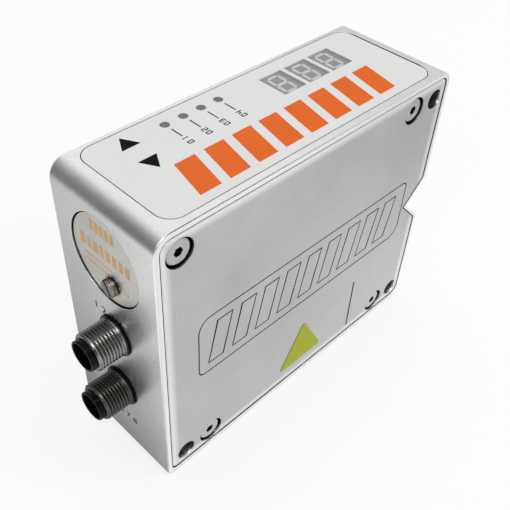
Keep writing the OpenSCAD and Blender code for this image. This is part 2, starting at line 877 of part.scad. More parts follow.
// ring nut behind the flange
module ring() {
  difference() {
    rod_z([0, 0], bench_r, bench_at + 2, bench_at + 4);
    rod_z([0, 0], tube_r + 0.1, bench_at + past, bench_at + 4 + past);
  }
}

// small lens with a domed front
module lens() {
  intersection() {
    rod_z([0, 0], lens_r, lens_at + 0.3, lens_at + 1.5);
    translate([0, 0, lens_at + 6.4]) sphere(r = 6);
  }
}

module laser_lens() {
  color([0.8, 0.85, 0.9]) place() emitter_axis() lens();
}

module receiver_lens() {
  color([0.8, 0.85, 0.9]) place() receiver_axis() lens();
}

module laser_barrel() {
  color([0.75, 0.6, 0.3]) place() emitter_axis() difference() {
    tube(laser_open_r);
    rod_z([0, 0], diode_r, tube_end - diode_t, tube_end + past);
  }
}

module laser_diode() {
  color([0.7, 0.65, 0.5]) place() emitter_axis() {
    rod_z([0, 0], diode_r, tube_end - diode_t, tube_end);
    rod_z([0, 0], diode_can_r, tube_end - diode_t - 2.4, tube_end - diode_t + nudge);
  }
}

module laser_ring() {
  color([0.2, 0.2, 0.2]) place() emitter_axis() ring();
}

module laser_board() {
  color([0.1, 0.35, 0.2]) place() emitter_axis()
    rod_z([0, 0], small_board_r, tube_end, tube_end + small_board_t);
}

module receiver_tube() {
  color([0.15, 0.15, 0.15]) place() receiver_axis() tube(receiver_open_r);
}

module receiver_ring() {
  color([0.2, 0.2, 0.2]) place() receiver_axis() ring();
}

module detector_board() {
  color([0.1, 0.35, 0.2]) place() receiver_axis()
    rod_z([0, 0], small_board_r, tube_end, tube_end + small_board_t);
}

module photodiode() {
  color([0.3, 0.3, 0.32]) place() receiver_axis()
    rod_z([0, 0], receiver_open_r, tube_end - 3, tube_end);
}

module triangle_sticker() {
  color([0.8, 0.84, 0.2]) place() along_y(cover_sink - sticker_t, cover_sink)
    translate(sticker_at) polygon([
      [sticker_c - sticker_w / 2, 0], [sticker_w / 2 - sticker_c, 0], [sticker_w / 2, sticker_c * 1.6],
      [sticker_c, sticker_h], [-sticker_c, sticker_h], [-sticker_w / 2, sticker_c * 1.6]
    ]);
}

housing();
side_cover();
cover_gasket();
cover_screws();
top_foil();
foil_orange_print();
foil_black_print();
display_blocks();
display_segments();
indicator_leds();
key_switches();
display_board();
display_board_screws();
link_header();
main_board();
main_board_screws();
processor();
capacitors();
service_cover();
service_seal();
service_screw();
service_switch();
power_shell();
power_insert();
power_pins();
data_shell();
data_insert();
data_pins();
connector_seals();
emitter_window();
laser_lens();
laser_barrel();
laser_diode();
laser_ring();
laser_board();
receiver_window();
receiver_lens();
receiver_tube();
receiver_ring();
detector_board();
photodiode();
triangle_sticker();
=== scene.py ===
import math

import bmesh
import bpy
from mathutils import Matrix, Vector


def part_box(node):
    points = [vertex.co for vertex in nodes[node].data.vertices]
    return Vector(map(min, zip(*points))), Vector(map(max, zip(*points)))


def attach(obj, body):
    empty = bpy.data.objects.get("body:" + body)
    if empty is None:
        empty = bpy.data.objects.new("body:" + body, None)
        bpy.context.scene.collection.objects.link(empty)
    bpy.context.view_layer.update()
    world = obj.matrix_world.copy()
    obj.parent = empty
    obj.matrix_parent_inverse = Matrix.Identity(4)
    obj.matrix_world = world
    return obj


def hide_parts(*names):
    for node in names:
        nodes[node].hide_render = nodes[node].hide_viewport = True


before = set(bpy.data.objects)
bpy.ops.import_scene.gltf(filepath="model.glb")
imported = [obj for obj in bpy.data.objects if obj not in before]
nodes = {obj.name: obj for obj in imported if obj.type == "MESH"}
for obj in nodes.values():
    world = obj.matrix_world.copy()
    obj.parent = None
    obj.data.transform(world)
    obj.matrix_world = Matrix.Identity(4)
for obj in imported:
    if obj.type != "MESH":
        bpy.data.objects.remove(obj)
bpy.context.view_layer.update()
mm = 0.001


# lower and upper corner of a CAD node's box, in millimetres
def boxOf(nodeName):
    return [[value / mm for value in corner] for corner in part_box(nodeName)]


def newObject(name, data):
    thing = bpy.data.objects.new(name, data)
    bpy.context.scene.collection.objects.link(thing)
    return thing


# what an object looks like with its modifiers, as a mesh of its own
def plainMesh(thing):
    graph = bpy.context.evaluated_depsgraph_get()
    mesh = bpy.data.meshes.new_from_object(thing.evaluated_get(graph), depsgraph=graph)
    mesh.name = thing.name
    return mesh


bodyLow, bodyHigh = boxOf("housing")
coverLow, coverHigh = boxOf("side_cover")
print("frame loaded,", len(nodes), "CAD nodes")


# node trees

def newMaterial(name):
    material = bpy.data.materials.new(name)
    material.use_nodes = True
    material.node_tree.nodes.clear()
    return material


def addNode(tree, kind, **settings):
    node = tree.nodes.new(kind)
    for key, value in settings.items():
        setattr(node, key, value)
    return node


def setInputs(node, values):
    for key, value in values.items():
        node.inputs[key].default_value = value


def mathNode(tree, operation, a, b=None, clamp=False):
    node = addNode(tree, "ShaderNodeMath", operation=operation, use_clamp=clamp)
    for index, value in enumerate([a, b]):
        if value is None:
            continue
        if isinstance(value, (int, float)):
            node.inputs[index].default_value = value
        else:
            tree.links.new(value, node.inputs[index])
    return node.outputs[0]


def rangeNode(tree, value, low, high, toLow, toHigh):
    node = addNode(tree, "ShaderNodeMapRange")
    setInputs(node, {"From Min": low, "From Max": high, "To Min": toLow, "To Max": toHigh})
    tree.links.new(value, node.inputs["Value"])
    return node.outputs["Result"]


def noiseNode(tree, vector, scale, detail, roughness):
    node = addNode(tree, "ShaderNodeTexNoise")
    setInputs(node, {"Detail": detail, "Roughness": roughness})
    if isinstance(scale, (int, float)):
        node.inputs["Scale"].default_value = scale
    else:
        tree.links.new(scale, node.inputs["Scale"])
    tree.links.new(vector, node.inputs["Vector"])
    return node.outputs["Fac"]


# numbers of a Mix node's sockets (first, second, result), because its kinds share their names
mixSockets = {"factor": 0, "color": (6, 7, 2), "vector": (4, 5, 1)}


def mixColor(tree, factor, a, b, blend="MIX"):
    node = addNode(tree, "ShaderNodeMix", data_type="RGBA", blend_type=blend)
    first, second, result = mixSockets["color"]
    for index, value in ((mixSockets["factor"], factor), (first, a), (second, b)):
        if isinstance(value, (int, float)):
            node.inputs[index].default_value = value
        elif isinstance(value, (tuple, list)):
            node.inputs[index].default_value = (*value[:3], 1.0)
        else:
            tree.links.new(value, node.inputs[index])
    return node.outputs[result]


def newShaderGroup(name, inputs, outputs):
    tree = bpy.data.node_groups.new(name, "ShaderNodeTree")
    for label, value in inputs.items():
        kind = "NodeSocketVector" if value is None else "NodeSocketFloat"
        socket = tree.interface.new_socket(label, in_out="INPUT", socket_type=kind)
        if value is not None:
            socket.default_value = value
    for label in outputs:
        tree.interface.new_socket(label, in_out="OUTPUT", socket_type="NodeSocketFloat")
    return tree, addNode(tree, "NodeGroupInput"), addNode(tree, "NodeGroupOutput")


# values inside the shared groups: a noise is (detail, roughness), a range is (from, to)
groupValues = {
    "fineNoise": (2.0, 0.6), "coarseNoise": (1.0, 0.5), "coarseScale": 0.38,
    "fineShare": 0.7, "coarseShare": 0.3, "speckRange": (0.32, 0.68),
    "patchNoise": (3.0, 0.55), "patchRange": (0.3, 0.7),
    "turnRange": (0.995, 0.86), "breakScale": 420.0, "breakNoise": (3.0, 0.5),
    "breakRange": (0.35, 0.65), "leastEdgeTint": 0.35,
    "edgeSamples": 6, "borderSamples": 8, "paintedShadeSamples": 8,
}


# fine pits and soft patches of a blasted or moulded surface
def makeGrainGroup():
    tree, source, sink = newShaderGroup(
        "surfaceGrain",
        {"Vector": None, "Grain": 2600.0, "Patches": 60.0},
        ["Height", "Speck", "Patch"],
    )
    vector, grain, patches = (source.outputs[label] for label in ("Vector", "Grain", "Patches"))
    fine = noiseNode(tree, vector, grain, *groupValues["fineNoise"])
    coarseScale = mathNode(tree, "MULTIPLY", grain, groupValues["coarseScale"])
    coarse = noiseNode(tree, vector, coarseScale, *groupValues["coarseNoise"])
    patch = noiseNode(tree, vector, patches, *groupValues["patchNoise"])
    height = mathNode(tree, "ADD",
                      mathNode(tree, "MULTIPLY", fine, groupValues["fineShare"]),
                      mathNode(tree, "MULTIPLY", coarse, groupValues["coarseShare"]))
    speck = rangeNode(tree, height, *groupValues["speckRange"], 0.0, 1.0)
    patchy = rangeNode(tree, patch, *groupValues["patchRange"], 0.0, 1.0)
    tree.links.new(height, sink.inputs["Height"])
    tree.links.new(speck, sink.inputs["Speck"])
    tree.links.new(patchy, sink.inputs["Patch"])
    return tree


# mask of the edges, from how far the rounded normal turns from the true one: most finishes are made
# lighter there, partly as rubbed wear and partly as a painted highlight; on the cover the cut lines
# and seams are made darker, a painted shade
def makeEdgeWearAndSheenGroup():
    tree, source, sink = newShaderGroup("rubbedEdge", {"Vector": None, "Radius": 0.0004}, ["Mask"])
    rounded = addNode(tree, "ShaderNodeBevel", samples=groupValues["edgeSamples"])
    tree.links.new(source.outputs["Radius"], rounded.inputs["Radius"])
    plain = addNode(tree, "ShaderNodeNewGeometry")
    dot = addNode(tree, "ShaderNodeVectorMath", operation="DOT_PRODUCT")
    tree.links.new(rounded.outputs["Normal"], dot.inputs[0])
    tree.links.new(plain.outputs["Normal"], dot.inputs[1])
    turn = rangeNode(tree, dot.outputs["Value"], *groupValues["turnRange"], 0.0, 1.0)
    breaks = noiseNode(
        tree, source.outputs["Vector"], groupValues["breakScale"], *groupValues["breakNoise"])
    broken = rangeNode(tree, breaks, *groupValues["breakRange"], groupValues["leastEdgeTint"], 1.0)
    tree.links.new(mathNode(tree, "MULTIPLY", turn, broken, clamp=True), sink.inputs["Mask"])
    return tree


# mask of gaps, grooves and sockets, where little light comes in; the finishes darken their colour
# by it, a painted shade
def makePaintedShadeGroup():
    tree, source, sink = newShaderGroup(
        "deepPlaces", {"Reach": 0.002, "Open": 0.84, "Closed": 0.5}, ["Mask"])
    nearness = addNode(tree, "ShaderNodeAmbientOcclusion", samples=groupValues["paintedShadeSamples"])
    tree.links.new(source.outputs["Reach"], nearness.inputs["Distance"])
    span = mathNode(tree, "SUBTRACT", source.outputs["Open"], source.outputs["Closed"])
    depth = mathNode(tree, "SUBTRACT", source.outputs["Open"], nearness.outputs["AO"])
    tree.links.new(mathNode(tree, "DIVIDE", depth, span, clamp=True), sink.inputs["Mask"])
    return tree


grainGroup = makeGrainGroup()
edgeWearAndSheenGroup = makeEdgeWearAndSheenGroup()
paintedShadeGroup = makePaintedShadeGroup()


def placeGroup(tree, group, vector, values):
    node = addNode(tree, "ShaderNodeGroup", node_tree=group)
    if vector:
        tree.links.new(vector, node.inputs["Vector"])
    setInputs(node, values)
    return node.outputs


def bumpNode(tree, height, strength, distance, normal=None):
    node = addNode(tree, "ShaderNodeBump")
    setInputs(node, {"Strength": strength, "Distance": distance})
    tree.links.new(height, node.inputs["Height"])
    if normal:
        tree.links.new(normal, node.inputs["Normal"])
    return node.outputs["Normal"]


# near the edges of a plate lying in x and z: normals that lean outwards, as on a rounded border,
# and the mask of that strip
def softBorder(tree, coords, border):
    place = addNode(tree, "ShaderNodeSeparateXYZ")
    tree.links.new(coords, place.inputs[0])
    near = None
    for axis in (0, 2):
        low, high = border["low"][axis], border["high"][axis]
        middle, half = (low + high) / 2 * mm, (high - low) / 2 * mm
        away = mathNode(tree, "ABSOLUTE", mathNode(tree, "SUBTRACT", place.outputs[axis], middle))
        inner, outer = half - border["reach"] * mm, half - border["full"] * mm
        share = rangeNode(tree, away, inner, outer, 0.0, 1.0)
        near = mathNode(tree, "MAXIMUM", near, share) if near else share
    rounded = addNode(tree, "ShaderNodeBevel", samples=groupValues["borderSamples"])
    rounded.inputs["Radius"].default_value = border["radius"] * mm
    plain = addNode(tree, "ShaderNodeNewGeometry")
    blend = addNode(tree, "ShaderNodeMix", data_type="VECTOR")
    first, second, result = mixSockets["vector"]
    tree.links.new(near, blend.inputs[mixSockets["factor"]])
    tree.links.new(plain.outputs["Normal"], blend.inputs[first])
    tree.links.new(rounded.outputs["Normal"], blend.inputs[second])
    return blend.outputs[result], near


# tones that all finishes share, depth as the colour of the painted shade in hollows; a finish may
# name its own patchDark
sharedTones = {
    "patchDark": (0.94, 0.94, 0.94), "patchLight": (1.0, 1.0, 1.0), "depth": (0.006, 0.006, 0.006),
}


# the common build of a finish: base colour with specks and patches, a border lightened as a
# painted highlight, edges tinted as wear and painted light, hollows darkened as painted shade,
# then roughness and bump
def surfaceMaterial(name, finish):
    material = newMaterial(name)
    tree = material.node_tree
    output = addNode(tree, "ShaderNodeOutputMaterial")
    shader = addNode(tree, "ShaderNodeBsdfPrincipled")
    coords = addNode(tree, "ShaderNodeTexCoord").outputs["Object"]
    grain = placeGroup(
        tree, grainGroup, coords, {"Grain": finish["grain"], "Patches": finish["patches"]})
    color = mixColor(tree, grain["Speck"], finish["dark"], finish["light"])
    patchDark = finish.get("patchDark", sharedTones["patchDark"])
    patchy = mixColor(tree, grain["Patch"], patchDark, sharedTones["patchLight"])
    color = mixColor(tree, 1.0, color, patchy, "MULTIPLY")
    roughLow, roughHigh = finish["roughness"]
    rough = rangeNode(tree, grain["Patch"], 0.0, 1.0, roughLow, roughHigh)
    soft = None
    # the border strip leans its normals outwards, and its colour is lightened as a painted
    # highlight
    if "softBorder" in finish:
        soft, near = softBorder(tree, coords, finish["softBorder"])
        paintedBorderLight = mathNode(tree, "MULTIPLY", near, finish["softBorder"]["paintedBorderLight"])
        color = mixColor(tree, paintedBorderLight, color, finish["softBorder"]["color"])
    # edges take the finish's edge colour: where it is light, rubbed wear and a painted highlight;
    # where it is dark, painted shade
    if "edge" in finish:
        edge = placeGroup(tree, edgeWearAndSheenGroup, coords, {"Radius": finish["edgeRadius"]})
        amount = mathNode(tree, "MULTIPLY", edge["Mask"], finish["edgeAmount"])
        color = mixColor(tree, amount, color, finish["edge"])
    # painted shade: the colour darkens towards the depth tone where the surface is closed in
    for reach, opened, closed, share in finish.get("deep", []):
        deep = placeGroup(
            tree, paintedShadeGroup, None, {"Reach": reach * mm, "Open": opened, "Closed": closed})
        amount = mathNode(tree, "MULTIPLY", deep["Mask"], share)
        color = mixColor(tree, amount, color, sharedTones["depth"])
    tree.links.new(color, shader.inputs["Base Color"])
    tree.links.new(rough, shader.inputs["Roughness"])
    bump = bumpNode(tree, grain["Height"], finish["bump"], finish["bumpDepth"], soft)
    tree.links.new(bump, shader.inputs["Normal"])
    setInputs(shader, finish["shader"])
    tree.links.new(shader.outputs["BSDF"], output.inputs["Surface"])
    return material


# camera and studio

photoView = {
    "eye": (-0.131179, -0.117814, 0.207441),
    "target": (-0.015042, -0.011063, 0.059887),
    "roll": 3.371,
    "lens": 51.65,
    "sensor": 36.0,
    "nearest": 0.005,
}


def makeCamera(view):
    data = bpy.data.cameras.new("photoCamera")
    data.lens = view["lens"]
    data.sensor_width = view["sensor"]
    data.clip_start = view["nearest"]
    camera = newObject("photoCamera", data)
    eye = Vector(view["eye"])
    aim = (Vector(view["target"]) - eye).to_track_quat("-Z", "Y").to_matrix().to_4x4()
    roll = Matrix.Rotation(math.radians(view["roll"]), 4, "Z")
    camera.matrix_world = Matrix.Translation(eye) @ aim @ roll
    bpy.context.scene.camera = camera


studio = {
    "floorSize": 3.0,
    "floorColor": 0.88,
    "whiteShare": 0.8,
    "ambient": 0.4,
    "mirrored": 0.96,
    "floorDrop": 0.0002,
    "lightAim": (0.0, 0.0, 0.05),
}

softBoxes = [
    {"name": "overheadBox", "place": (0.1, 0.1, 1.2), "size": 1.1, "power": 7.5},
    {"name": "frontBox", "place": (0.75, -0.95, 0.8), "size": 0.7, "power": 7.0},
    {"name": "leftBox", "place": (-1.1, -0.3, 0.9), "size": 0.6, "power": 2.5},
]

# cards that only shiny surfaces mirror: four upright around the object, a bright slanted strip and
# two on the floor beside it; levels run from a card's start along its side, a fade multiplies them
cards = [
    {"name": "uprightCard",
     "start": (-0.756, -0.108, 0.0), "side": (0.0, 0.0, 0.8), "up": (0.792, 0.876, 0.0),
     "levels": [(0.0, 0.16), (0.38, 0.16), (0.54, 0.3), (0.8, 0.62), (1.0, 0.92)]},
    {"name": "nearCornerCard",
     "start": (-0.95, -0.28, 0.0), "side": (0.0, 0.0, 1.15), "up": (0.45, -0.78, 0.0),
     "levels": [(0.0, 0.42), (0.12, 0.3), (0.3, 0.06), (1.0, 0.06)]},
    {"name": "stripCard",
     "start": (-0.79, 0.06, 0.5), "side": (0.52, -0.2, 0.36), "up": (-0.08, -0.26, 0.0),
     "levels": [(0.0, 5.5), (1.0, 5.5)]},
    {"name": "farEndCard",
     "start": (0.1, -0.1, 0.1), "side": (0.0, 0.0, 0.2), "up": (0.0, 0.45, 0.0),
     "levels": [(0.0, 0.66), (0.25, 0.74), (0.37, 0.85), (0.62, 0.98), (1.0, 1.0)]},
    {"name": "frontRightCard",
     "start": (0.134, -0.85, 0.32), "side": (0.0, 0.0, 1.0), "up": (0.725, 0.56, 0.0),
     "levels": [(0.0, 0.1), (1.0, 0.1)]},
    # its levels, darkest next to the body, are a painted shadow of the object on the floor, seen
    # only in reflections
    {"name": "leftFloorCard",
     "start": (-0.0593, 0.46, 0.0003), "side": (-0.4, 0.0, 0.0), "up": (0.0, -0.6, 0.0),
     "levels": [(0.0, 0.29), (0.05, 0.49), (0.1, 0.86), (0.17, 0.96), (0.32, 0.78), (1.0, 0.22)],
     "fade": {"start": (-0.0593, -0.02, 0.0), "side": (0.0209, 0.0228, 0.0),
              "levels": [(0.0, 1.25), (0.07, 1.16), (0.16, 0.97), (0.28, 0.9), (0.5, 0.84),
                         (0.75, 0.82), (1.0, 0.68)]}},
    {"name": "frontFloorCard",
     "start": (-0.2, -0.0208, 0.0003), "side": (0.0, -0.3, 0.0), "up": (0.6, 0.0, 0.0),
     "levels": [(0.0, 1.0), (0.1, 0.97), (0.17, 0.9), (0.25, 0.95), (1.0, 0.9)],
     "fade": {"start": (-0.06, 0.0, 0.0), "side": (0.22, 0.0, 0.0),
              "levels": [(0.0, 1.02), (0.4, 1.02), (0.58, 1.12), (0.72, 1.03), (1.0, 0.88)]}},
]


def makeLight(box):
    data = bpy.data.lights.new(box["name"], "AREA")
    data.shape = "SQUARE"
    data.size = box["size"]
    data.energy = box["power"]
    light = newObject(box["name"], data)
    light.location = box["place"]
    light.visible_glossy = False
    aim = Vector(studio["lightAim"]) - light.location
    light.rotation_euler = aim.to_track_quat("-Z", "Y").to_euler()


def meshObject(name, points, faces):
    mesh = bpy.data.meshes.new(name)
    mesh.from_pydata(points, [], faces)
    mesh.update()
    return newObject(name, mesh)


# rays of the camera and of mirrors that should meet a plain white
def seenDirectly(tree):
    path = addNode(tree, "ShaderNodeLightPath")
    seen = mathNode(tree, "MAXIMUM", path.outputs["Is Camera Ray"], path.outputs["Is Glossy Ray"])
    return mathNode(tree, "MAXIMUM", seen, path.outputs["Is Transmission Ray"])


def makeFloor():
    half = studio["floorSize"] / 2
    low = -studio["floorDrop"]
    corners = [(-half, -half, low), (half, -half, low), (half, half, low), (-half, half, low)]
    floor = meshObject("studioFloor", corners, [(0, 1, 2, 3)])
    material = newMaterial("studioFloor")
    tree = material.node_tree
    matt = addNode(tree, "ShaderNodeBsdfDiffuse")
    matt.inputs["Color"].default_value = (*[studio["floorColor"]] * 3, 1)
    white = addNode(tree, "ShaderNodeEmission")
    blend = addNode(tree, "ShaderNodeMixShader")
    share = mathNode(tree, "MULTIPLY", seenDirectly(tree), studio["whiteShare"])
    tree.links.new(share, blend.inputs[0])
    tree.links.new(matt.outputs[0], blend.inputs[1])
    tree.links.new(white.outputs[0], blend.inputs[2])
    tree.links.new(blend.outputs[0], addNode(tree, "ShaderNodeOutputMaterial").inputs["Surface"])
    floor.data.materials.append(material)


def makeWorld():
    world = bpy.data.worlds.new("studioWorld")
    world.use_nodes = True
    tree = world.node_tree
    tree.nodes.clear()
    sky = addNode(tree, "ShaderNodeBackground")
    sky.inputs["Color"].default_value = (1.0, 1.0, 1.0, 1.0)
    path = addNode(tree, "ShaderNodeLightPath")
    strength = rangeNode(tree, seenDirectly(tree), 0.0, 1.0, studio["ambient"], 1.0)
    drop = mathNode(tree, "MULTIPLY", path.outputs["Is Glossy Ray"], 1.0 - studio["mirrored"])
    tree.links.new(mathNode(tree, "SUBTRACT", strength, drop), sky.inputs["Strength"])
    tree.links.new(sky.outputs[0], addNode(tree, "ShaderNodeOutputWorld").inputs["Surface"])
    bpy.context.scene.world = world


# grey levels that run from a start along a side, each at its share of the side's length
def rampAlong(tree, start, side, levels):
    away = addNode(tree, "ShaderNodeVectorMath", operation="SUBTRACT")
    away.inputs[1].default_value = start
    tree.links.new(addNode(tree, "ShaderNodeTexCoord").outputs["Object"], away.inputs[0])
    share = addNode(tree, "ShaderNodeVectorMath", operation="DOT_PRODUCT")
    share.inputs[1].default_value = Vector(side) / Vector(side).length_squared
    tree.links.new(away.outputs[0], share.inputs[0])
    ramp = addNode(tree, "ShaderNodeValToRGB")
    while len(ramp.color_ramp.elements) < len(levels):
        ramp.color_ramp.elements.new(0.5)
    for element, (position, level) in zip(ramp.color_ramp.elements, levels):
        element.position = position
        element.color = (level, level, level, 1.0)
    tree.links.new(share.outputs["Value"], ramp.inputs[0])
    return ramp.outputs["Color"]


def makeCard(card):
    start, side, up = (Vector(card[key]) for key in ("start", "side", "up"))
    corners = [start, start + side, start + side + up, start + up]
    thing = meshObject(card["name"], corners, [(0, 1, 2, 3)])
    material = newMaterial(card["name"])
    tree = material.node_tree
    grey = rampAlong(tree, start=start, side=side, levels=card["levels"])
    if "fade" in card:
        grey = mixColor(tree, 1.0, grey, rampAlong(tree, **card["fade"]), "MULTIPLY")
    glow = addNode(tree, "ShaderNodeEmission")
    tree.links.new(grey, glow.inputs["Color"])
    tree.links.new(glow.outputs[0], addNode(tree, "ShaderNodeOutputMaterial").inputs["Surface"])
    thing.data.materials.append(material)
    thing.visible_camera = False
    thing.visible_diffuse = False
    thing.visible_shadow = False
    thing.visible_transmission = False


makeCamera(photoView)
for box in softBoxes:
    makeLight(box)
makeFloor()
makeWorld()
for card in cards:
    makeCard(card)
bpy.context.scene.view_settings.view_transform = "Standard"
print("camera and studio made")


# finishes, one for each material slot; grain and patches are noise scales, each row of the painted
# shade in hollows is (reach in mm, open share, closed share, strength)

metal = {"Metallic": 1.0}

finishes = {
    "bead_blasted_aluminium": {
        "grain": 2400, "patches": 45, "dark": (0.79, 0.79, 0.785), "light": (0.93, 0.93, 0.925),
        "roughness": (0.3, 0.38), "bump": 0.36, "bumpDepth": 0.00006,
        "deep": [(2.0, 0.84, 0.5, 0.97), (8.0, 0.44, 0.2, 0.95)],
        "edge": (0.95, 0.95, 0.94), "edgeRadius": 0.0005, "edgeAmount": 0.5, "shader": metal,
    },
    # the cover's dark edge colour is painted shade along its seam and cut lines
    "satin_grey_aluminium": {
        "grain": 3200, "patches": 34, "dark": (0.47, 0.472, 0.466), "light": (0.555, 0.557, 0.55),
        "patchDark": (0.83, 0.835, 0.83), "roughness": (0.3, 0.42), "bump": 0.15,
        "bumpDepth": 0.00004,
        "softBorder": {"low": coverLow, "high": coverHigh, "radius": 1.6, "reach": 3.2, "full": 0.9,
                       "paintedBorderLight": 0.85, "color": (0.84, 0.84, 0.83)},
        "deep": [(0.8, 0.96, 0.7, 0.7), (4.0, 0.62, 0.34, 0.97)],
        "edge": (0.1, 0.1, 0.1), "edgeRadius": 0.00015, "edgeAmount": 0.4, "shader": metal,
    },
    "disc_aluminium": {
        "grain": 1800, "patches": 60, "dark": (0.68, 0.685, 0.635), "light": (0.78, 0.785, 0.735),
        "roughness": (0.38, 0.5), "bump": 0.12, "bumpDepth": 0.00004,
        "deep": [(2.0, 0.8, 0.45, 0.95)],
        "edge": (0.85, 0.85, 0.84), "edgeRadius": 0.0003, "edgeAmount": 0.5, "shader": metal,
    },
    "screw_steel": {
        "grain": 1500, "patches": 220, "dark": (0.42, 0.42, 0.407), "light": (0.51, 0.51, 0.496),
        "roughness": (0.17, 0.26), "bump": 0.1, "bumpDepth": 0.00003,
        "deep": [(2.0, 0.84, 0.5, 0.98)],
        "edge": (0.9, 0.9, 0.88), "edgeRadius": 0.0002, "edgeAmount": 0.5, "shader": metal,
    },
    "dark_screw_steel": {
        "grain": 1500, "patches": 240, "dark": (0.26, 0.254, 0.242), "light": (0.33, 0.322, 0.306),
        "roughness": (0.14, 0.2), "bump": 0.06, "bumpDepth": 0.00003,
        "deep": [(1.6, 0.9, 0.5, 0.97)],
        "edge": (0.75, 0.75, 0.73), "edgeRadius": 0.00012, "edgeAmount": 0.4, "shader": metal,
    },
    "foil_light_grey": {
        "grain": 3600, "patches": 50, "dark": (0.65, 0.65, 0.645), "light": (0.7, 0.7, 0.695),
        "patchDark": (0.98, 0.98, 0.98), "roughness": (0.46, 0.54), "bump": 0.1,
        "bumpDepth": 0.00003,
        "shader": {"Specular IOR Level": 0.1},
    },
    "orange_ink": {
        "grain": 3000, "patches": 120, "dark": (0.66, 0.112, 0.012), "light": (0.74, 0.138, 0.018),
        "roughness": (0.46, 0.54), "bump": 0.12, "bumpDepth": 0.00003,
        "shader": {"Specular IOR Level": 0.1},
    },
    "black_ink": {
        "grain": 3000, "patches": 120, "dark": (0.004, 0.0045, 0.004),
        "light": (0.008, 0.0085, 0.008),
        "roughness": (0.46, 0.54), "bump": 0.12, "bumpDepth": 0.00003,
        "shader": {"Specular IOR Level": 0.02},
    },
    "display_grey": {
        "grain": 2600, "patches": 80, "dark": (0.21, 0.215, 0.21), "light": (0.25, 0.255, 0.25),
        "roughness": (0.22, 0.3), "bump": 0.08, "bumpDepth": 0.00003,
        "shader": {"Specular IOR Level": 0.5},
    },
    "segment_resin": {
        "grain": 2600, "patches": 300, "dark": (0.46, 0.46, 0.45), "light": (0.54, 0.54, 0.53),
        "roughness": (0.25, 0.35), "bump": 0.08, "bumpDepth": 0.00003,
        "shader": {"Specular IOR Level": 0.5},
    },
    "led_resin": {
        "grain": 2200, "patches": 300, "dark": (0.1, 0.115, 0.1), "light": (0.14, 0.155, 0.135),
        "roughness": (0.2, 0.3), "bump": 0.05, "bumpDepth": 0.00003,
        "shader": {"Specular IOR Level": 0.3, "Coat Weight": 0.1},
    },
    "black_rubber": {
        "grain": 1800, "patches": 160, "dark": (0.004, 0.004, 0.004),
        "light": (0.008, 0.008, 0.008),
        "roughness": (0.45, 0.6), "bump": 0.25, "bumpDepth": 0.00004,
        "shader": {"Specular IOR Level": 0.05},
    },
    "black_plastic": {
        "grain": 2000, "patches": 150, "dark": (0.0025, 0.0025, 0.0025),
        "light": (0.005, 0.005, 0.005),
        "roughness": (0.16, 0.26), "bump": 0.06, "bumpDepth": 0.00003,
        "shader": {"Specular IOR Level": 0.08},
    },
    "board_green": {
        "grain": 1500, "patches": 260, "dark": (0.018, 0.11, 0.045), "light": (0.03, 0.17, 0.075),
        "patchDark": (0.75, 0.8, 0.75), "roughness": (0.25, 0.38), "bump": 0.2,
        "bumpDepth": 0.00005,
        "shader": {"Specular IOR Level": 0.5, "Coat Weight": 0.3},
    },
    "capacitor_can": {
        "grain": 1800, "patches": 120, "dark": (0.04, 0.05, 0.09), "light": (0.06, 0.075, 0.13),
        "roughness": (0.28, 0.4), "bump": 0.1, "bumpDepth": 0.00003,
        "shader": {"Specular IOR Level": 0.5},
    },
    "switch_blue": {
        "grain": 1800, "patches": 160, "dark": (0.03, 0.12, 0.42), "light": (0.045, 0.16, 0.52),
        "roughness": (0.32, 0.42), "bump": 0.15, "bumpDepth": 0.00003,
        "shader": {"Specular IOR Level": 0.5},
    },
    "nickel_brass": {
        "grain": 1400, "patches": 260, "dark": (0.27, 0.268, 0.258), "light": (0.33, 0.327, 0.316),
        "roughness": (0.2, 0.28), "bump": 0.03, "bumpDepth": 0.00002,
        "deep": [(0.7, 0.84, 0.44, 0.88)],
        "edge": (0.85, 0.84, 0.81), "edgeRadius": 0.0001, "edgeAmount": 0.12, "shader": metal,
    },
    "gold_pin": {
        "grain": 1800, "patches": 400, "dark": (0.85, 0.58, 0.2), "light": (0.95, 0.68, 0.28),
        "roughness": (0.16, 0.26), "bump": 0.05, "bumpDepth": 0.00002, "shader": metal,
    },
    "barrel_brass": {
        "grain": 1600, "patches": 200, "dark": (0.66, 0.46, 0.18), "light": (0.78, 0.56, 0.24),
        "roughness": (0.24, 0.36), "bump": 0.12, "bumpDepth": 0.00003, "shader": metal,
    },
    "black_aluminium": {
        "grain": 2200, "patches": 120, "dark": (0.016, 0.016, 0.018), "light": (0.03, 0.03, 0.032),
        "roughness": (0.38, 0.5), "bump": 0.2, "bumpDepth": 0.00004,
        "shader": {"Specular IOR Level": 0.6},
    },
    "window_glass": {
        "grain": 900, "patches": 140, "dark": (0.9, 0.92, 0.91), "light": (0.94, 0.96, 0.95),
        "roughness": (0.02, 0.05), "bump": 0.02, "bumpDepth": 0.00001,
        "shader": {"IOR": 1.5, "Transmission Weight": 1.0},
    },
    "lens_glass": {
        "grain": 900, "patches": 140, "dark": (0.86, 0.9, 0.94), "light": (0.92, 0.95, 0.98),
        "roughness": (0.01, 0.03), "bump": 0.02, "bumpDepth": 0.00001,
        "shader": {"IOR": 1.52, "Transmission Weight": 1.0, "Coat Weight": 0.3},
    },
    "sticker_yellow": {
        "grain": 2600, "patches": 120, "dark": (0.38, 0.42, 0.02), "light": (0.45, 0.5, 0.028),
        "roughness": (0.38, 0.48), "bump": 0.12, "bumpDepth": 0.00003,
        "shader": {"Specular IOR Level": 0.06},
    },
}

looks = {name: surfaceMaterial(name, finish) for name, finish in finishes.items()}
slotOf = {}
for nodeName, thing in nodes.items():
    for slot in thing.material_slots:
        slotOf[nodeName] = slot.material.name.split(".")[0]
        slot.material = looks[slotOf[nodeName]]
print("finishes made:", len(looks))


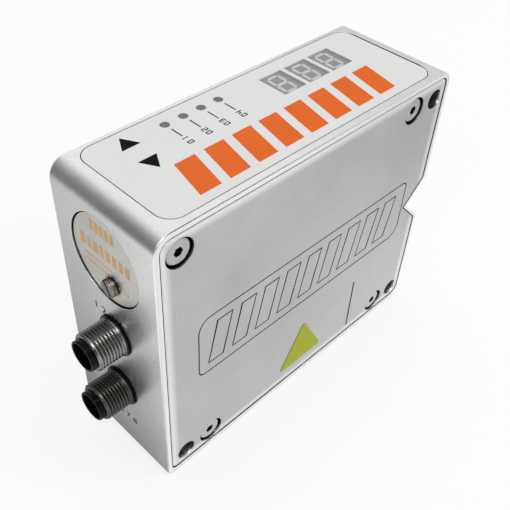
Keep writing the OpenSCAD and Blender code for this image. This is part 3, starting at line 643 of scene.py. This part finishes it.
# pieces made from the CAD solids; gaps in metres, angles in degrees

meshing = {
    "mergeGap": 1e-6, "flatTurn": 0.3, "edgeTurn": 25.0, "sharpTurn": 38.0, "faceWeight": 100,
}


# edges of a solid that get rounded; each rule is (test, width in mm), the first that fits counts
def roundedCopy(nodeName, pieceName, rules, segments=3):
    mesh = nodes[nodeName].data.copy()
    mesh.name = pieceName
    mesh.materials.clear()
    shape = bmesh.new()
    shape.from_mesh(mesh)
    bmesh.ops.remove_doubles(shape, verts=shape.verts, dist=meshing["mergeGap"])
    bmesh.ops.dissolve_limit(
        shape, angle_limit=math.radians(meshing["flatTurn"]), verts=shape.verts, edges=shape.edges)
    weights = shape.edges.layers.float.new("bevel_weight_edge")
    widest = max(width for test, width in rules)
    least = math.radians(meshing["edgeTurn"])
    for edge in shape.edges:
        if len(edge.link_faces) != 2 or edge.calc_face_angle(0.0) < least:
            continue
        middle = (edge.verts[0].co + edge.verts[1].co) / 2 / mm
        normals = [face.normal for face in edge.link_faces]
        for test, width in rules:
            if test(middle, normals):
                edge[weights] = width / widest
                break
    shape.to_mesh(mesh)
    shape.free()
    piece = newObject(pieceName, mesh)
    bevel = piece.modifiers.new("roundedEdges", "BEVEL")
    bevel.limit_method = "WEIGHT"
    bevel.width = widest * mm
    bevel.segments = segments
    bevel.use_clamp_overlap = False
    bevel.loop_slide = False
    bevel.miter_outer = "MITER_SHARP"
    return finishMesh(piece, meshing["sharpTurn"])


# smooth shading with true flat faces, and the modifiers turned to plain mesh
def finishMesh(piece, sharpTurn):
    flatten(piece)
    piece.data.set_sharp_from_angle(angle=math.radians(sharpTurn))
    weighted = piece.modifiers.new("flatFaces", "WEIGHTED_NORMAL")
    weighted.keep_sharp = True
    weighted.weight = meshing["faceWeight"]
    return flatten(piece)


def flatten(piece):
    mesh = plainMesh(piece)
    piece.modifiers.clear()
    piece.data = mesh
    for polygon in mesh.polygons:
        polygon.use_smooth = True
    return piece


# a dressed piece takes the place and finish of its CAD node
def stand(piece, *nodeNames):
    slotName = slotOf[nodeNames[0]]
    piece.data.materials.clear()
    piece.data.materials.append(looks[slotName])
    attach(piece, "root")
    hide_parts(*nodeNames)
    return piece


# tests of an edge, all called with its middle in mm and the normals of its two faces
def anyEdge(middle, normals):
    return True


# milled housing: chamfered rims, blasted all over, so every edge is a little soft; widths in mm

housingEdges = {
    "rim": 0.14, "nose": 0.3, "coverMouth": 0.1,
    "backHoles": 0.15, "foilMouth": 0.08, "discMouth": 0.1,
}

# how an edge is told apart: distances in mm; rimSlant, noseFacing and across are shares of a unit
# normal, discShare one of the round plate's radius
edgeTests = {
    "touch": 0.02, "rimDepth": 0.5, "rimSlant": (0.6, 0.8),
    "noseLength": 10, "noseInset": 0.6, "noseFacing": 0.6, "across": 0.1,
    "discShare": 0.7, "discPast": 1,
}
plateLow, plateHigh = boxOf("service_cover")
plateMiddle = [(low + high) / 2 for low, high in zip(plateLow, plateHigh)]
plateRadius = (plateHigh[1] - plateLow[1]) / 2


def touches(place, level):
    return abs(place - level) < edgeTests["touch"]


def onRim(middle, normals):
    low, high = edgeTests["rimSlant"]
    depth = edgeTests["rimDepth"]
    slanted = any(low < abs(normal.y) < high for normal in normals)
    return slanted and (middle.y < bodyLow[1] + depth or middle.y > bodyHigh[1] - depth)


def onNose(middle, normals):
    inset = edgeTests["noseInset"]
    across = all(abs(normal.y) < edgeTests["across"] for normal in normals)
    facing = any(abs(normal.x) > edgeTests["noseFacing"] for normal in normals)
    inside = bodyLow[1] + inset < middle.y < bodyHigh[1] - inset
    return middle.x > bodyHigh[0] - edgeTests["noseLength"] and inside and across and facing


def onCoverMouth(middle, normals):
    return touches(middle.y, bodyLow[1])


def onBackHole(middle, normals):
    return touches(middle.y, bodyHigh[1])


def onFoilMouth(middle, normals):
    return touches(middle.z, bodyHigh[2])


def onDiscMouth(middle, normals):
    away = math.hypot(middle.y - plateMiddle[1], middle.z - plateMiddle[2])
    within = plateRadius * edgeTests["discShare"] < away < plateRadius + edgeTests["discPast"]
    return touches(middle.x, bodyLow[0]) and within


housingBody = stand(roundedCopy("housing", "housingBody", [
    (onRim, housingEdges["rim"]), (onNose, housingEdges["nose"]),
    (onCoverMouth, housingEdges["coverMouth"]), (onBackHole, housingEdges["backHoles"]),
    (onFoilMouth, housingEdges["foilMouth"]), (onDiscMouth, housingEdges["discMouth"]),
]), "housing")
print("housing rounded:", len(housingBody.data.polygons), "faces")


# side cover: a plate with a fine bevel all round and at its screw holes; lengths in mm

coverEdges = {
    "outline": 0.06, "holes": 0.12,
    "thinWall": 1.5, "faceDepth": 0.05, "border": 1.6, "screwReach": 5.0,
}


# middles of the loose parts of a CAD node, in millimetres
def partMiddles(nodeName):
    shape = bmesh.new()
    shape.from_mesh(nodes[nodeName].data)
    bmesh.ops.remove_doubles(shape, verts=shape.verts, dist=meshing["mergeGap"])
    middles, seen = [], set()
    for start in shape.verts:
        if start in seen:
            continue
        part, front = [], [start]
        seen.add(start)
        while front:
            vertex = front.pop()
            part.append(vertex.co / mm)
            for edge in vertex.link_edges:
                other = edge.other_vert(vertex)
                if other not in seen:
                    seen.add(other)
                    front.append(other)
        low = [min(point[axis] for point in part) for axis in range(3)]
        high = [max(point[axis] for point in part) for axis in range(3)]
        middles.append([(least + most) / 2 for least, most in zip(low, high)])
    shape.free()
    return middles


coverScrews = partMiddles("cover_screws")


# distance from the nearest cover screw's axis
def screwDistance(middle):
    return min(math.hypot(middle.x - place[0], middle.z - place[2]) for place in coverScrews)


def onCoverFace(middle):
    return middle.y < coverLow[1] + coverEdges["faceDepth"]


# the counterbores' edges, except where only a thin wall is left to the cover's outer line
def onCoverHole(middle, normals):
    near = screwDistance(middle) < coverEdges["screwReach"]
    return onCoverFace(middle) and near and not middle.z < coverLow[2] + coverEdges["thinWall"]


# the cover's outer line, near its box
def onCoverOutline(middle, normals):
    across = any(abs(normal.y) < edgeTests["across"] for normal in normals)
    inset = min(middle.x - coverLow[0], coverHigh[0] - middle.x,
                middle.z - coverLow[2], coverHigh[2] - middle.z)
    return onCoverFace(middle) and across and inset < coverEdges["border"]


side = roundedCopy("side_cover", "sideCoverPlate", [
    (onCoverHole, coverEdges["holes"]), (onCoverOutline, coverEdges["outline"])])
stand(side, "side_cover")
print("side cover rounded:", len(side.data.polygons), "faces")


# small turned and stamped parts with broken edges: piece name and width in mm

smallEdges = {
    "service_cover": ("servicePlate", 0.18),
    "service_screw": ("slottedScrew", 0.16),
    "connector_seals": ("connectorSealRings", 0.25),
    "power_insert": ("powerCollar", 0.22),
    "data_insert": ("dataCollar", 0.22),
    "display_blocks": ("displayBlockSet", 0.06),
}

for nodeName, (pieceName, width) in smallEdges.items():
    stand(roundedCopy(nodeName, pieceName, [(anyEdge, width)], segments=2), nodeName)

# the cover screws' heads have a flat chamfer around their face
screwHeads = {"socketReach": 2.6, "chamfer": 0.35, "fine": 0.1, "outward": -0.9}


def onHeadRim(middle, normals):
    outward = any(normal.y < screwHeads["outward"] for normal in normals)
    return screwDistance(middle) > screwHeads["socketReach"] and outward


heads = roundedCopy("cover_screws", "coverScrewSet",
                    [(onHeadRim, screwHeads["chamfer"]), (anyEdge, screwHeads["fine"])], segments=1)
stand(heads, "cover_screws")
print("small parts rounded, the cover screws among them:", len(smallEdges) + 1)


# connector shells: a turned blank, its thread cut by a node tree; radii and lengths in mm, lengths
# from the connector face, the groove's flank in shares of the pitch

threadShell = {
    "outer": 6.0, "bore": 4.85, "neck": 6.3, "neckStart": -0.7, "tip": -9.7, "tipChamfer": 0.5,
    "wall": 4.25, "flange": 7.7, "flangeWidth": 2.0,
    "pitch": 1.0, "depth": 0.5, "threadStart": -9.4, "threadEnd": -1.05, "runOut": 0.7,
    "grooveFrom": 0.04, "grooveTo": 0.45, "atOuter": 0.02, "pastEnd": 0.2,
    "around": 96, "step": 0.1, "sharpTurn": 50.0,
}


def shellProfile(shell):
    points = [(shell["tip"], shell["bore"]), (shell["tip"], shell["outer"] - shell["tipChamfer"])]
    x = shell["tip"] + shell["tipChamfer"]
    while x < shell["threadEnd"] + shell["pastEnd"]:
        points.append((x, shell["outer"]))
        x += shell["step"]
    points += [(shell["neckStart"], shell["outer"]), (shell["neckStart"], shell["neck"]),
               (shell["wall"], shell["neck"]), (shell["wall"], shell["flange"]),
               (shell["wall"] + shell["flangeWidth"], shell["flange"]),
               (shell["wall"] + shell["flangeWidth"], shell["bore"])]
    return points


def latheObject(name, profile, around, place):
    points, faces = [], []
    for x, radius in profile:
        for turn in range(around):
            angle = 2 * math.pi * turn / around
            points.append(((place[0] + x) * mm, (place[1] + radius * math.cos(angle)) * mm,
                           (place[2] + radius * math.sin(angle)) * mm))
    count = len(profile)
    for ring in range(count):
        after = (ring + 1) % count
        for turn in range(around):
            beside = (turn + 1) % around
            faces.append((ring * around + turn, after * around + turn, after * around + beside,
                          ring * around + beside))
    thing = meshObject(name, points, faces)
    shape = bmesh.new()
    shape.from_mesh(thing.data)
    bmesh.ops.recalc_face_normals(shape, faces=shape.faces)
    if shape.calc_volume(signed=True) < 0:
        bmesh.ops.reverse_faces(shape, faces=shape.faces)
    shape.to_mesh(thing.data)
    shape.free()
    return thing


def newGeometryTree(name, inputs):
    tree = bpy.data.node_groups.new(name, "GeometryNodeTree")
    tree.interface.new_socket("Geometry", in_out="INPUT", socket_type="NodeSocketGeometry")
    for label, (kind, value) in inputs.items():
        socket = tree.interface.new_socket(label, in_out="INPUT", socket_type="NodeSocket" + kind)
        if value is not None:
            socket.default_value = value
    tree.interface.new_socket("Geometry", in_out="OUTPUT", socket_type="NodeSocketGeometry")
    return tree, addNode(tree, "NodeGroupInput").outputs, addNode(tree, "NodeGroupOutput").inputs


# the end of a tree: instances made real, and the material set
def closeTree(tree, geometry, source, sink):
    real = addNode(tree, "GeometryNodeRealizeInstances")
    paint = addNode(tree, "GeometryNodeSetMaterial")
    tree.links.new(geometry, real.inputs[0])
    tree.links.new(real.outputs[0], paint.inputs["Geometry"])
    tree.links.new(source["Material"], paint.inputs["Material"])
    tree.links.new(paint.outputs[0], sink["Geometry"])


# cuts a helical V groove into whatever lies at the outer radius between start and end
def makeThreadTree():
    tree, source, sink = newGeometryTree("cutThread", {
        "Pitch": ("Float", 0.001), "Depth": ("Float", 0.0006),
        "Start": ("Float", 0.0), "End": ("Float", 0.01), "Run Out": ("Float", 0.0007),
        "Outer Radius": ("Float", 0.006),
        "Center Height": ("Float", 0.0), "Center Depth": ("Float", 0.0),
        "Material": ("Material", None),
    })
    place = addNode(tree, "ShaderNodeSeparateXYZ")
    tree.links.new(addNode(tree, "GeometryNodeInputPosition").outputs[0], place.inputs[0])
    x = place.outputs[0]
    y = mathNode(tree, "SUBTRACT", place.outputs[1], source["Center Depth"])
    z = mathNode(tree, "SUBTRACT", place.outputs[2], source["Center Height"])
    angle = mathNode(tree, "ARCTAN2", z, y)
    squares = [mathNode(tree, "MULTIPLY", value, value) for value in (y, z)]
    radius = mathNode(tree, "SQRT", mathNode(tree, "ADD", *squares))
    along = mathNode(tree, "DIVIDE", x, source["Pitch"])
    phase = mathNode(tree, "SUBTRACT", along, mathNode(tree, "DIVIDE", angle, 2 * math.pi))
    wave = mathNode(tree, "PINGPONG", phase, 0.5)
    groove = rangeNode(tree, wave, threadShell["grooveFrom"], threadShell["grooveTo"], 1.0, 0.0)
    fades = []
    for edge, sign in (("Start", 1), ("End", -1)):
        into = mathNode(tree, "MULTIPLY", mathNode(tree, "SUBTRACT", x, source[edge]), sign)
        fades.append(mathNode(tree, "DIVIDE", into, source["Run Out"], clamp=True))
    cut = mathNode(tree, "MULTIPLY", groove, mathNode(tree, "MULTIPLY", fades[0], fades[1]))
    cut = mathNode(tree, "MULTIPLY", cut, source["Depth"])
    atOuter = mathNode(tree, "COMPARE", radius, source["Outer Radius"])
    atOuter.node.inputs[2].default_value = threadShell["atOuter"] * mm
    scale = mathNode(tree, "DIVIDE", mathNode(tree, "SUBTRACT", radius, cut), radius)
    move = addNode(tree, "ShaderNodeCombineXYZ")
    tree.links.new(x, move.inputs[0])
    depth = mathNode(tree, "ADD", mathNode(tree, "MULTIPLY", y, scale), source["Center Depth"])
    tree.links.new(depth, move.inputs[1])
    height = mathNode(tree, "ADD", mathNode(tree, "MULTIPLY", z, scale), source["Center Height"])
    tree.links.new(height, move.inputs[2])
    put = addNode(tree, "GeometryNodeSetPosition")
    tree.links.new(source["Geometry"], put.inputs["Geometry"])
    tree.links.new(atOuter, put.inputs["Selection"])
    tree.links.new(move.outputs[0], put.inputs["Position"])
    closeTree(tree, put.outputs[0], source, sink)
    return tree


# runs a node tree on a piece with the named values, and keeps the plain mesh
def runTree(piece, tree, values):
    modifier = piece.modifiers.new(tree.name, "NODES")
    modifier.node_group = tree
    for item in tree.interface.items_tree:
        if item.in_out == "INPUT" and item.name in values:
            modifier[item.identifier] = values[item.name]
    return flatten(piece)


# the lower connector's shell gets a darker copy of the nickel, a painted shade, with rougher
# reflections
looks["painted_shade_nickel"] = surfaceMaterial("painted_shade_nickel", dict(
    finishes["nickel_brass"],
    dark=(0.1, 0.099, 0.092), light=(0.135, 0.132, 0.124), roughness=(0.32, 0.4)))
threadTree = makeThreadTree()
for pieceName, nodeName, shellLook in (("powerThread", "power_shell", "nickel_brass"),
                                     ("dataThread", "data_shell", "painted_shade_nickel")):
    low, high = boxOf(nodeName)
    face, depth, height = bodyLow[0], (low[1] + high[1]) / 2, (low[2] + high[2]) / 2
    shell = threadShell
    blank = latheObject(pieceName, shellProfile(shell), shell["around"], (face, depth, height))
    runTree(blank, threadTree, {
        "Pitch": shell["pitch"] * mm, "Depth": shell["depth"] * mm,
        "Start": (face + shell["threadStart"]) * mm, "End": (face + shell["threadEnd"]) * mm,
        "Run Out": shell["runOut"] * mm, "Outer Radius": shell["outer"] * mm,
        "Center Depth": depth * mm, "Center Height": height * mm, "Material": looks[shellLook],
    })
    stand(finishMesh(blank, shell["sharpTurn"]), nodeName)
    blank.data.materials[0] = looks[shellLook]
print("threads cut")


# print on the connector face, lengths in mm: rows of faint bars on the round plate, with low and
# high from its middle's height, and plain numerals beside the connectors

plateRows = [
    {"name": "plateRowTop", "from": 5.7, "to": -4.6, "low": 7.4, "high": 11.0,
     "count": 5, "share": 0.78},
    {"name": "plateRowBold", "from": 10.7, "to": -10.4, "low": -0.1, "high": 3.8,
     "count": 8, "share": 0.88},
    {"name": "plateLineFirst", "from": 9.6, "to": -3.4, "low": -2.9, "high": -2.2,
     "count": 13, "share": 0.82},
    {"name": "plateLineSecond", "from": 9.0, "to": -1.8, "low": -5.2, "high": -4.4,
     "count": 10, "share": 0.82},
    {"name": "plateLineThird", "from": -2.8, "to": -8.7, "low": -7.2, "high": -6.4,
     "count": 5, "share": 0.8},
]

faceNumerals = [
    {"name": "upperPortNumerals", "body": "1 2 3 4",
     "middle": (1.2, 57.0), "height": 2.6, "wide": 12.0},
    {"name": "lowerPortNumerals", "body": "5 6 7 8",
     "middle": (-0.6, 13.6), "height": 2.4, "wide": 11.5},
]

# thicknesses in mm, half of each inside the metal; the extrusion is in the units of the curve
inkLayer = {
    "rowThickness": 0.04, "narrowestBar": 0.62, "firstSeed": 3,
    "numeralThickness": 0.03, "numeralExtrude": 0.01, "numeralSteps": 4,
}


# a row of bars with uneven widths, standing on a line of the plate
def makeRowTree():
    tree, source, sink = newGeometryTree("printedRow", {
        "Count": ("Int", 5), "Pitch": ("Float", 0.002), "Share": ("Float", 0.75),
        "Height": ("Float", 0.003), "Thickness": ("Float", 0.00003), "Seed": ("Int", 3),
        "Material": ("Material", None),
    })
    line = addNode(tree, "GeometryNodeMeshLine", mode="OFFSET")
    tree.links.new(source["Count"], line.inputs["Count"])
    step = addNode(tree, "ShaderNodeCombineXYZ")
    tree.links.new(mathNode(tree, "MULTIPLY", source["Pitch"], -1.0), step.inputs[1])
    tree.links.new(step.outputs[0], line.inputs["Offset"])
    bar = addNode(tree, "GeometryNodeMeshCube")
    size = addNode(tree, "ShaderNodeCombineXYZ")
    tree.links.new(source["Thickness"], size.inputs[0])
    tree.links.new(mathNode(tree, "MULTIPLY", source["Pitch"], source["Share"]), size.inputs[1])
    tree.links.new(source["Height"], size.inputs[2])
    tree.links.new(size.outputs[0], bar.inputs["Size"])
    spread = addNode(tree, "FunctionNodeRandomValue", data_type="FLOAT")
    spread.inputs[2].default_value = inkLayer["narrowestBar"]
    spread.inputs[3].default_value = 1.0
    tree.links.new(source["Seed"], spread.inputs["Seed"])
    widths = addNode(tree, "ShaderNodeCombineXYZ")
    setInputs(widths, {0: 1.0, 2: 1.0})
    tree.links.new(spread.outputs[1], widths.inputs[1])
    row = addNode(tree, "GeometryNodeInstanceOnPoints")
    tree.links.new(line.outputs[0], row.inputs["Points"])
    tree.links.new(bar.outputs[0], row.inputs["Instance"])
    tree.links.new(widths.outputs[0], row.inputs["Scale"])
    closeTree(tree, row.outputs[0], source, sink)
    return tree


looks["faint_orange_ink"] = surfaceMaterial("faint_orange_ink", {
    "grain": 2600, "patches": 300, "dark": (0.66, 0.41, 0.2), "light": (0.74, 0.48, 0.25),
    "roughness": (0.46, 0.54), "bump": 0.08, "bumpDepth": 0.00002,
    "shader": {"Specular IOR Level": 0.1},
})
rowTree = makeRowTree()
for index, row in enumerate(plateRows):
    pitch = (row["from"] - row["to"]) / row["count"]
    piece = runTree(meshObject(row["name"], [], []), rowTree, {
        "Count": row["count"], "Pitch": pitch * mm, "Share": row["share"],
        "Height": (row["high"] - row["low"]) * mm, "Thickness": inkLayer["rowThickness"] * mm,
        "Seed": inkLayer["firstSeed"] + index, "Material": looks["faint_orange_ink"],
    })
    place = (plateLow[0], row["from"] - pitch / 2, plateMiddle[2] + (row["low"] + row["high"]) / 2)
    piece.data.transform(Matrix.Translation(Vector(place) * mm))
    for polygon in piece.data.polygons:
        polygon.use_smooth = False
    piece.data.materials.clear()
    piece.data.materials.append(looks["faint_orange_ink"])
    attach(piece, "root")


# numerals as thin solids on the connector face, stretched to their height and width
def makeNumerals(mark):
    curve = bpy.data.curves.new(mark["name"], "FONT")
    curve.body = mark["body"]
    curve.align_x = "CENTER"
    curve.align_y = "CENTER"
    curve.extrude = inkLayer["numeralExtrude"]
    curve.resolution_u = inkLayer["numeralSteps"]
    text = newObject(mark["name"] + "Curve", curve)
    mesh = plainMesh(text)
    bpy.data.objects.remove(text)
    points = [vertex.co for vertex in mesh.vertices]
    low = [min(point[axis] for point in points) for axis in range(2)]
    high = [max(point[axis] for point in points) for axis in range(2)]
    across = mark["wide"] * mm / (high[0] - low[0])
    up = mark["height"] * mm / (high[1] - low[1])
    out = inkLayer["numeralThickness"] * mm / (2 * inkLayer["numeralExtrude"])
    y, z = mark["middle"]
    turn = Matrix((
        (0, 0, -out, bodyLow[0] * mm),
        (-across, 0, 0, y * mm + across * (low[0] + high[0]) / 2),
        (0, up, 0, z * mm - up * (low[1] + high[1]) / 2),
        (0, 0, 0, 1),
    ))
    mesh.transform(turn)
    if turn.to_3x3().determinant() < 0:
        mesh.flip_normals()
    mesh.name = mark["name"]
    piece = newObject(mark["name"], mesh)
    piece.data.materials.append(looks["black_ink"])
    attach(piece, "root")


for mark in faceNumerals:
    makeNumerals(mark)
print("print laid on the connector face")
